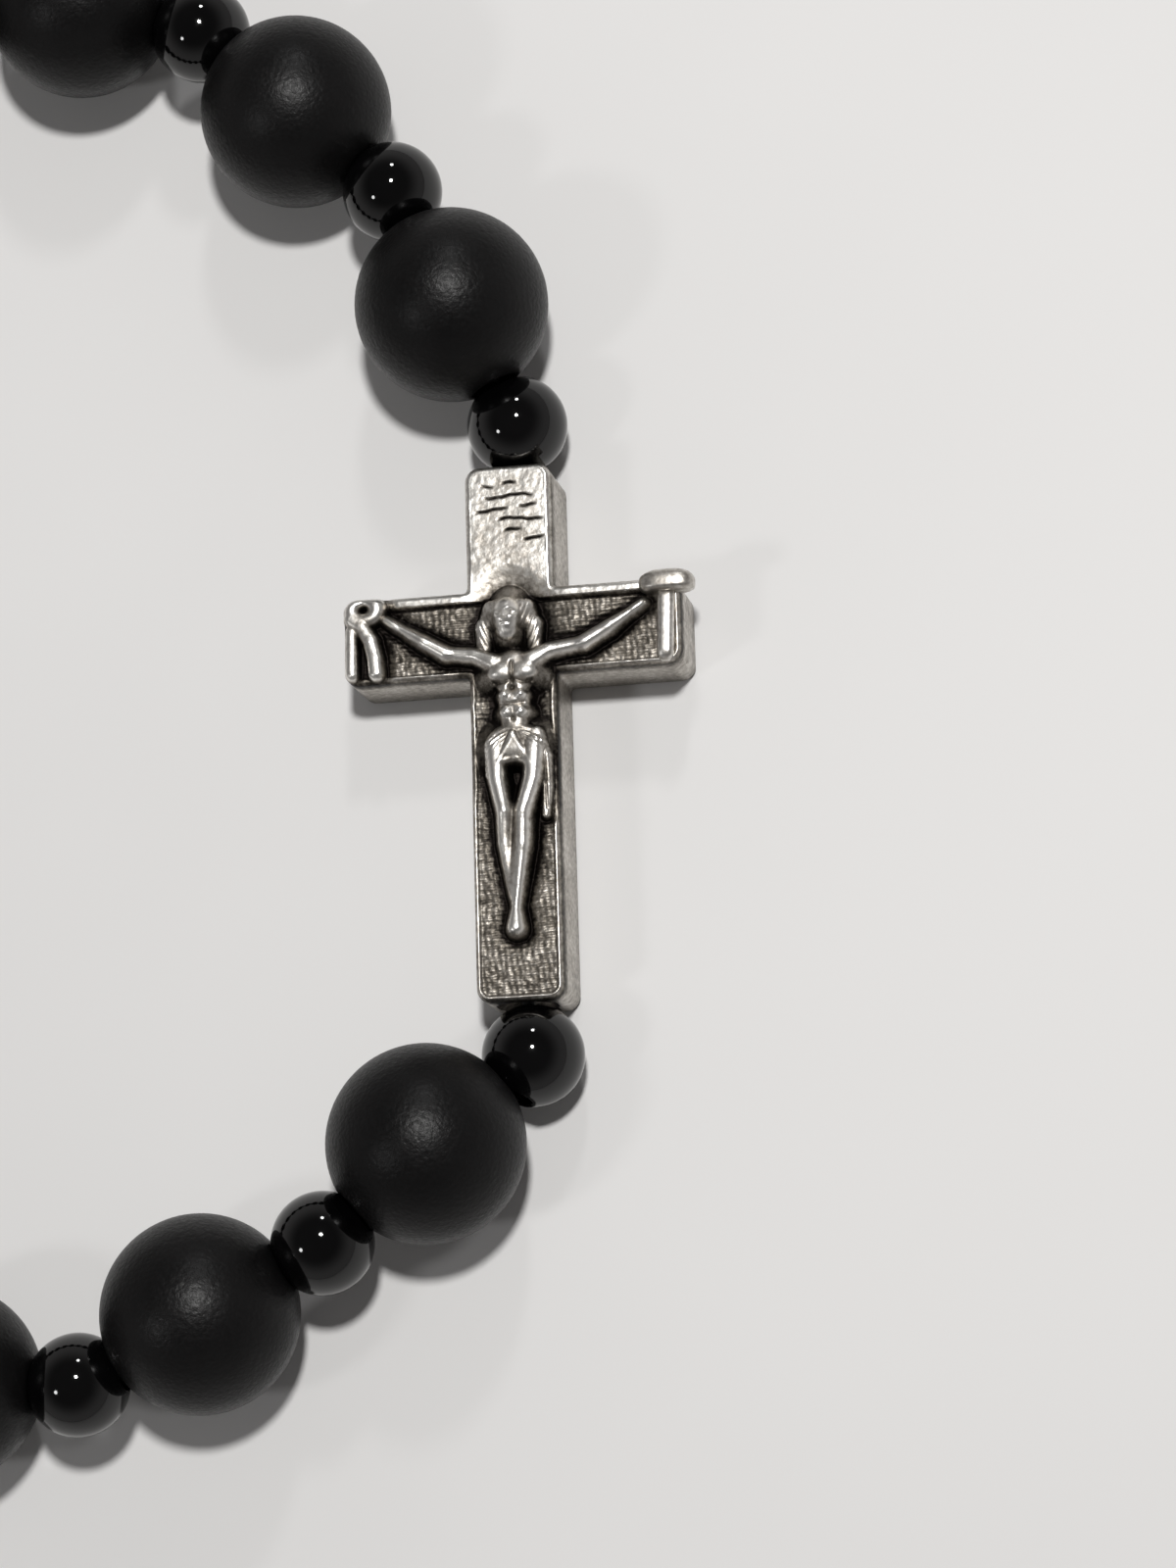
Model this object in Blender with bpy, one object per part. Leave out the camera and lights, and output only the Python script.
"""Rosary bracelet: one loop of elastic cord that holds large matt beads, small glossy spacer beads
between them, and a cast crucifix that is drilled lengthwise and is part of the loop.

The frame: the crucifix lies on its back at z = 0, its stem along Y with the head end at +Y, its bar
along X, and the origin under the crossing. The beads lie beside it as a closed loop towards -X.
Units are metres. Large bead k sits halfway between spacer k and spacer k + 1, and the strand bends
at the spacers, so each large bead hangs on an empty at the spacer that it turns about.
"""

import math

import bmesh
import bpy
from mathutils import Matrix, Vector

MM = 0.001

# Beads.
LARGE_RADIUS = 5.0 * MM
SMALL_RADIUS = 2.6 * MM
BORE_RADIUS = 0.9 * MM
LARGE_MOUTH = 1.6 * MM
END_MOUTH = 2.2 * MM
SMALL_MOUTH = 1.5 * MM
MOUTH_DEPTH = 1.2 * MM
LARGE_SIDES = 18
SMALL_SIDES = 14
LARGE_ARC_STEPS = 9
SMALL_ARC_STEPS = 6

# Strand. A spacer sits in the countersunk mouths of its neighbours, so the pitch is under R + r.
PITCH = 7.1 * MM
OPEN_PIVOT_PITCH = 7.75 * MM
HEAD_SPACER = Vector((0.3, 11.3, 2.9)) * MM
FOOT_SPACER = Vector((0.25, -21.5, 2.8)) * MM
HEAD_HEADINGS = (115, 136, 160, 196, 224, 244)
FOOT_HEADINGS = (221, 207, 177, 146, 123)

# Elastic cord and its knot, which hides inside one large bead.
CORD_RADIUS = 0.35 * MM
CORD_STEPS = 3
STEM_ROUTE_STEPS = 4
KNOT_RADIUS = 0.6 * MM
KNOT_HALF_LENGTH = 0.9 * MM
KNOT_GAP = 0.3 * MM
KNOT_SIDES = 10
KNOT_RINGS = 6

# Crucifix casting.
STEM_HALF = 2.25 * MM
STEM_TOP = 8.8 * MM
STEM_BOTTOM = -18.95 * MM
BAR_HALF = 2.22 * MM
BAR_REACH = 8.78 * MM
FRONT = 4.6 * MM
EDGE = 0.35 * MM
BORE_HEIGHT = 2.5 * MM
CROSS_BORE = 0.85 * MM
CROSS_MOUTH = 1.65 * MM
CUTTER_PAST = 1.0 * MM
CUTTER_SIDES = 16
CUTTER_MERGE = 0.01 * MM
LIMB_SIDES = 10
LIMB_RINGS = 8

# Edges that bend more sharply than this are shaded as edges.
SHARP_DEGREES = 35

MATERIALS = {
    "large_bead": ((0.022, 0.021, 0.021, 1.0), 0.55, 0.0),
    "small_bead": ((0.008, 0.008, 0.009, 1.0), 0.06, 0.0),
    "crucifix": ((0.36, 0.34, 0.32, 1.0), 0.38, 1.0),
    "cord": ((0.03, 0.03, 0.03, 1.0), 0.5, 0.0),
}


def clear_scene():
    for obj in list(bpy.data.objects):
        bpy.data.objects.remove(obj)


def make_material(name):
    colour, roughness, metallic = MATERIALS[name]
    material = bpy.data.materials.new(name)
    material.use_nodes = True
    shader = material.node_tree.nodes["Principled BSDF"]
    shader.inputs["Base Color"].default_value = colour
    shader.inputs["Roughness"].default_value = roughness
    shader.inputs["Metallic"].default_value = metallic
    return material


def add_object(name, data, material):
    data.materials.clear()
    data.materials.append(material)
    obj = bpy.data.objects.new(name, data)
    bpy.context.scene.collection.objects.link(obj)
    return obj


def place(obj, matrix, pivot):
    """Puts the object at a world matrix, as the child of an empty that is only moved, not turned."""
    obj.parent = pivot
    obj.matrix_basis = Matrix.Translation(-pivot.location) @ matrix


def make_pivot(name, position):
    pivot = bpy.data.objects.new(name, None)
    pivot.location = position
    pivot.empty_display_size = LARGE_RADIUS
    bpy.context.scene.collection.objects.link(pivot)
    return pivot


def along(direction):
    """A rotation that lays local X along the direction and keeps local Z as upright as it can."""
    heading = math.atan2(direction.y, direction.x)
    climb = math.atan2(direction.z, math.hypot(direction.x, direction.y))
    return Matrix.Rotation(heading, 4, "Z") @ Matrix.Rotation(-climb, 4, "Y")


# ---- turned solids --------------------------------------------------------------------------------


def turned_mesh(name, profile, sides):
    """Turns a closed loop of (along, out) points about local X. It runs over the outside first."""
    mesh = bpy.data.meshes.new(name)
    shape = bmesh.new()
    rings = []
    for side in range(sides):
        angle = math.tau * (side + 0.5) / sides
        rings.append([shape.verts.new((x, r * math.cos(angle), r * math.sin(angle))) for x, r in profile])
    for side in range(sides):
        ring = rings[side]
        following = rings[(side + 1) % sides]
        for index in range(len(profile)):
            after = (index + 1) % len(profile)
            shape.faces.new((ring[index], ring[after], following[after], following[index]))
    bmesh.ops.recalc_face_normals(shape, faces=shape.faces)
    shape.to_mesh(mesh)
    shape.free()
    mesh.shade_smooth()
    mesh.set_sharp_from_angle(angle=math.radians(SHARP_DEGREES))
    return mesh


def bead_profile(radius, mouth, steps):
    """A ball with a straight bore and a countersunk mouth at each end."""
    reach = math.sqrt(radius**2 - mouth**2)
    first = math.atan2(mouth, reach)
    points = []
    for step in range(steps + 1):
        angle = first + (math.pi - 2 * first) * step / steps
        points.append((radius * math.cos(angle), radius * math.sin(angle)))
    points.append((-(reach - MOUTH_DEPTH), BORE_RADIUS))
    points.append((reach - MOUTH_DEPTH, BORE_RADIUS))
    return points


def knot_mesh():
    """A small solid barrel whose two ends face the two ends of the cord."""
    mesh = bpy.data.meshes.new("cord_knot")
    shape = bmesh.new()
    bmesh.ops.create_uvsphere(shape, u_segments=KNOT_SIDES, v_segments=KNOT_RINGS, radius=1.0)
    quarter_turn = Matrix.Rotation(math.pi / 2, 4, "Y")
    size = Matrix.Diagonal((KNOT_HALF_LENGTH, KNOT_RADIUS, KNOT_RADIUS, 1.0))
    bmesh.ops.transform(shape, matrix=size @ quarter_turn, verts=shape.verts)
    shape.to_mesh(mesh)
    shape.free()
    mesh.shade_smooth()
    return mesh


# ---- strand layout --------------------------------------------------------------------------------


def flat_direction(degrees):
    return Vector((math.cos(math.radians(degrees)), math.sin(math.radians(degrees)), 0.0))


def walk(start, headings):
    """From the spacer beside the crucifix: (large bead centres, spacer centres, the start included)."""
    rise = LARGE_RADIUS - start.z
    spacers = [start.copy()]
    larges = []
    for heading in headings:
        first_reach = math.sqrt(PITCH**2 - rise**2)
        larges.append(spacers[-1] + flat_direction(heading) * first_reach + Vector((0, 0, rise)))
        spacers.append(larges[-1] + flat_direction(heading) * PITCH)
        rise = 0.0
    return larges, spacers


def meeting_point(head_end, foot_end, head_reach, foot_reach):
    """The far spacer, where circles about the two chain ends cross on the -X side."""
    gap = foot_end - head_end
    distance = gap.length
    part = (distance**2 + head_reach**2 - foot_reach**2) / (2 * distance)
    height = math.sqrt(head_reach**2 - part**2)
    unit = gap / distance
    side = Vector((unit.y, -unit.x, 0.0))
    return head_end + unit * part + (side if side.x < 0 else -side) * height


def lay_out():
    """Centres around the loop, from the head end of the crucifix to its foot: larges, spacers."""
    head_larges, head_spacers = walk(HEAD_SPACER, HEAD_HEADINGS)
    foot_larges, foot_spacers = walk(FOOT_SPACER, FOOT_HEADINGS)
    far = meeting_point(head_spacers[-1], foot_spacers[-1], 2 * PITCH, PITCH + OPEN_PIVOT_PITCH)
    head_larges.append((head_spacers[-1] + far) / 2)
    head_spacers.append(far)
    foot_larges.append(foot_spacers[-1] + (far - foot_spacers[-1]).normalized() * PITCH)
    larges = head_larges + foot_larges[::-1]
    spacers = head_spacers + foot_spacers[::-1]
    return larges, spacers, len(head_larges)


def bore_direction(before, centre, after):
    """The cord's direction at a bead, halfway between the directions to its two neighbours."""
    return ((centre - before).normalized() + (after - centre).normalized()).normalized()


def make_beads(larges, spacers, head_count):
    """Large and small beads on empties at the spacers that they turn about. Returns those empties."""
    large_profile = bead_profile(LARGE_RADIUS, LARGE_MOUTH, LARGE_ARC_STEPS)
    end_profile = bead_profile(LARGE_RADIUS, END_MOUTH, LARGE_ARC_STEPS)
    small_profile = bead_profile(SMALL_RADIUS, SMALL_MOUTH, SMALL_ARC_STEPS)
    large_mesh = turned_mesh("large_bead", large_profile, LARGE_SIDES)
    end_mesh = turned_mesh("large_bead_end", end_profile, LARGE_SIDES)
    small_mesh = turned_mesh("small_bead", small_profile, SMALL_SIDES)
    large_material = make_material("large_bead")
    small_material = make_material("small_bead")
    bends = []
    for index, centre in enumerate(larges):
        anchor = spacers[index] if index < head_count else spacers[index + 1]
        pivot = make_pivot(f"bend_axis_{index + 1:02d}", anchor)
        mesh = end_mesh if index in (0, len(larges) - 1) else large_mesh
        bead = add_object(f"large_bead_{index + 1:02d}", mesh, large_material)
        direction = bore_direction(spacers[index], centre, spacers[index + 1])
        place(bead, Matrix.Translation(centre) @ along(direction), pivot)
        bends.append(pivot)
    head_mouth = Vector((0.0, STEM_TOP, BORE_HEIGHT))
    foot_mouth = Vector((0.0, STEM_BOTTOM, BORE_HEIGHT))
    neighbours = [head_mouth] + larges + [foot_mouth]
    for index, centre in enumerate(spacers):
        bead = add_object(f"small_bead_{index + 1:02d}", small_mesh, small_material)
        direction = bore_direction(neighbours[index], centre, neighbours[index + 1])
        bead.matrix_basis = Matrix.Translation(centre) @ along(direction)
    return bends


# ---- cord -----------------------------------------------------------------------------------------


def smooth_point(before, start, end, after, part):
    """A point on the Catmull-Rom curve between start and end."""
    pull = (end - before) * part
    bend = (before * 2 - start * 5 + end * 4 - after) * part**2
    twist = (start * 3 - before - end * 3 + after) * part**3
    return start + (pull + bend + twist) / 2


def cord_route(larges, spacers, head_count):
    """The cord's own route: out of the knot, along the foot side, through the crucifix and back."""
    knot = larges[head_count]
    to_foot = (spacers[head_count + 1] - knot).normalized()
    to_head = (spacers[head_count] - knot).normalized()
    clear = KNOT_HALF_LENGTH + KNOT_GAP
    route = [knot + to_foot * clear]
    for large, spacer in zip(larges[head_count + 1 :] + [None], spacers[head_count + 1 :]):
        route.append(spacer)
        if large is not None:
            route.append(large)
    for step in range(STEM_ROUTE_STEPS + 1):
        along_stem = STEM_BOTTOM + (STEM_TOP - STEM_BOTTOM) * step / STEM_ROUTE_STEPS
        route.append(Vector((0.0, along_stem, BORE_HEIGHT)))
    for spacer, large in zip(spacers[:head_count], larges[:head_count]):
        route.extend((spacer, large))
    route.append(spacers[head_count])
    route.append(knot + to_head * clear)
    return route


def make_cord(larges, spacers, head_count):
    route = cord_route(larges, spacers, head_count)
    guides = [route[0] * 2 - route[1]] + route + [route[-1] * 2 - route[-2]]
    points = []
    for index in range(1, len(guides) - 2):
        for step in range(CORD_STEPS):
            points.append(smooth_point(*guides[index - 1 : index + 3], step / CORD_STEPS))
    points.append(route[-1])
    curve = bpy.data.curves.new("elastic_cord", "CURVE")
    curve.dimensions = "3D"
    curve.bevel_depth = CORD_RADIUS
    curve.bevel_resolution = 2
    curve.use_fill_caps = True
    spline = curve.splines.new("POLY")
    spline.points.add(len(points) - 1)
    for target, point in zip(spline.points, points):
        target.co = (*point, 1.0)
    add_object("elastic_cord", curve, make_material("cord"))


def make_knot(larges, spacers, head_count, bends):
    centre = larges[head_count]
    knot = add_object("cord_knot", knot_mesh(), bpy.data.materials["cord"])
    direction = spacers[head_count + 1] - centre
    place(knot, Matrix.Translation(centre) @ along(direction), bends[head_count])


# ---- crucifix -------------------------------------------------------------------------------------


def cross_outline():
    return (
        (-STEM_HALF, STEM_BOTTOM),
        (STEM_HALF, STEM_BOTTOM),
        (STEM_HALF, -BAR_HALF),
        (BAR_REACH, -BAR_HALF),
        (BAR_REACH, BAR_HALF),
        (STEM_HALF, BAR_HALF),
        (STEM_HALF, STEM_TOP),
        (-STEM_HALF, STEM_TOP),
        (-STEM_HALF, BAR_HALF),
        (-BAR_REACH, BAR_HALF),
        (-BAR_REACH, -BAR_HALF),
        (-STEM_HALF, -BAR_HALF),
    )


def cross_blank():
    """The plain cross, extruded from its outline and bevelled round its front and back edges."""
    mesh = bpy.data.meshes.new("crucifix_bead")
    shape = bmesh.new()
    base = shape.faces.new([shape.verts.new((x, y, 0.0)) for x, y in cross_outline()])
    raised = bmesh.ops.extrude_face_region(shape, geom=[base])["geom"]
    lifted = [item for item in raised if isinstance(item, bmesh.types.BMVert)]
    bmesh.ops.translate(shape, vec=(0.0, 0.0, FRONT), verts=lifted)
    bmesh.ops.recalc_face_normals(shape, faces=shape.faces)
    rims = [edge for edge in shape.edges if abs(edge.verts[0].co.z - edge.verts[1].co.z) < EDGE]
    bmesh.ops.bevel(shape, geom=rims, offset=EDGE, segments=2, profile=0.5, affect="EDGES")
    shape.to_mesh(mesh)
    shape.free()
    return mesh


def hide_tool(obj):
    obj.hide_render = True
    obj.display_type = "WIRE"


def add_boolean(target, tool, operation):
    step = target.modifiers.new(tool.name, "BOOLEAN")
    step.operation = operation
    step.solver = "EXACT"
    step.object = tool


def bore_cutter():
    """The lengthwise bore with a funnel at each end, as one turned cutter."""
    middle = (STEM_TOP + STEM_BOTTOM) / 2
    half = (STEM_TOP - STEM_BOTTOM) / 2
    outline = (
        (half + CUTTER_PAST, 0.0),
        (half + CUTTER_PAST, CROSS_MOUTH),
        (half, CROSS_MOUTH),
        (half - MOUTH_DEPTH, CROSS_BORE),
        (-half + MOUTH_DEPTH, CROSS_BORE),
        (-half, CROSS_MOUTH),
        (-half - CUTTER_PAST, CROSS_MOUTH),
        (-half - CUTTER_PAST, 0.0),
    )
    mesh = bpy.data.meshes.new("bore_cutter")
    shape = bmesh.new()
    verts = [shape.verts.new((along_y + middle, 0.0, out)) for along_y, out in outline]
    edges = [shape.edges.new(pair) for pair in zip(verts, verts[1:])]
    bmesh.ops.spin(
        shape,
        geom=verts + edges,
        cent=(0, 0, 0),
        axis=(1, 0, 0),
        angle=math.tau,
        steps=CUTTER_SIDES,
        use_merge=True,
    )
    bmesh.ops.remove_doubles(shape, verts=shape.verts, dist=CUTTER_MERGE)
    bmesh.ops.recalc_face_normals(shape, faces=shape.faces)
    shape.to_mesh(mesh)
    shape.free()
    cutter = bpy.data.objects.new("bore_cutter", mesh)
    cutter.matrix_basis = Matrix.Translation((0, 0, BORE_HEIGHT)) @ Matrix.Rotation(math.pi / 2, 4, "Z")
    bpy.context.scene.collection.objects.link(cutter)
    hide_tool(cutter)
    return cutter


def limb(name, start, end, start_radius, end_radius):
    """A tapered round limb between two points on the front of the cross, as a union tool."""
    start = Vector(start) * MM
    end = Vector(end) * MM
    mesh = bpy.data.meshes.new(name)
    shape = bmesh.new()
    bmesh.ops.create_uvsphere(shape, u_segments=LIMB_SIDES, v_segments=LIMB_RINGS, radius=1.0)
    length = (end - start).length
    turn = (end - start).to_track_quat("Z", "Y").to_matrix().to_4x4()
    for vert in shape.verts:
        if vert.co.z > 0:
            vert.co = vert.co * end_radius * MM + Vector((0, 0, length))
        else:
            vert.co = vert.co * start_radius * MM
    bmesh.ops.transform(shape, matrix=turn, verts=shape.verts)
    bmesh.ops.translate(shape, vec=start, verts=shape.verts)
    bmesh.ops.recalc_face_normals(shape, faces=shape.faces)
    shape.to_mesh(mesh)
    shape.free()
    tool = bpy.data.objects.new(name, mesh)
    bpy.context.scene.collection.objects.link(tool)
    hide_tool(tool)
    return tool


def figure_limbs():
    """The figure and the two tools beside the hands: (name, start, end, radii), in millimetres."""
    axis = FRONT / MM - 0.15
    yield "head", (-0.4, 0.3, axis + 0.5), (-0.4, 0.95, axis + 0.4), 0.75, 0.8
    yield "hair", (-0.4, -0.3, axis), (-0.4, 0.8, axis), 1.25, 1.2
    yield "chest", (-0.15, -2.8, axis + 0.1), (-0.15, -1.8, axis + 0.15), 0.85, 1.0
    yield "belly", (-0.2, -4.8, axis), (-0.2, -2.8, axis + 0.1), 0.8, 0.85
    yield "cloth", (-0.22, -6.4, axis), (-0.22, -5.2, axis + 0.1), 1.05, 1.0
    yield "cloth_end", (1.45, -9.2, axis - 0.1), (1.3, -6.2, axis), 0.32, 0.42
    yield "left_upper_arm", (-0.95, -1.35, axis), (-3.3, -1.05, axis), 0.55, 0.44
    yield "left_forearm", (-3.3, -1.05, axis), (-6.2, 1.0, axis), 0.44, 0.32
    yield "right_upper_arm", (0.65, -1.45, axis), (3.6, -0.95, axis), 0.55, 0.44
    yield "right_forearm", (3.6, -0.95, axis), (6.6, 1.05, axis), 0.44, 0.32
    yield "left_thigh", (-0.9, -6.2, axis), (-0.72, -9.2, axis + 0.1), 0.62, 0.45
    yield "right_thigh", (0.42, -6.2, axis), (0.12, -9.3, axis + 0.1), 0.62, 0.45
    yield "left_shin", (-0.72, -9.2, axis + 0.1), (-0.32, -13.9, axis), 0.45, 0.3
    yield "right_shin", (0.12, -9.3, axis + 0.1), (-0.02, -14.1, axis), 0.45, 0.32
    yield "feet", (-0.1, -14.3, axis), (-0.1, -15.3, axis), 0.38, 0.52
    yield "hammer_handle", (7.95, -1.7, axis), (7.95, 1.9, axis), 0.45, 0.45
    yield "hammer_head", (7.2, 2.15, axis), (8.85, 2.15, axis), 0.62, 0.62
    yield "pincer_jaws", (-7.75, 1.2, axis - 0.1), (-7.75, 1.5, axis - 0.1), 0.8, 0.8
    yield "outer_grip", (-8.3, -1.75, axis), (-8.15, 0.9, axis), 0.28, 0.3
    yield "inner_grip", (-6.98, -1.75, axis), (-7.3, 0.8, axis), 0.28, 0.3


def make_crucifix():
    cross = add_object("crucifix_bead", cross_blank(), make_material("crucifix"))
    for name, start, end, start_radius, end_radius in figure_limbs():
        add_boolean(cross, limb(name, start, end, start_radius, end_radius), "UNION")
    add_boolean(cross, bore_cutter(), "DIFFERENCE")


def main():
    clear_scene()
    larges, spacers, head_count = lay_out()
    bends = make_beads(larges, spacers, head_count)
    make_cord(larges, spacers, head_count)
    make_knot(larges, spacers, head_count, bends)
    make_crucifix()


main()
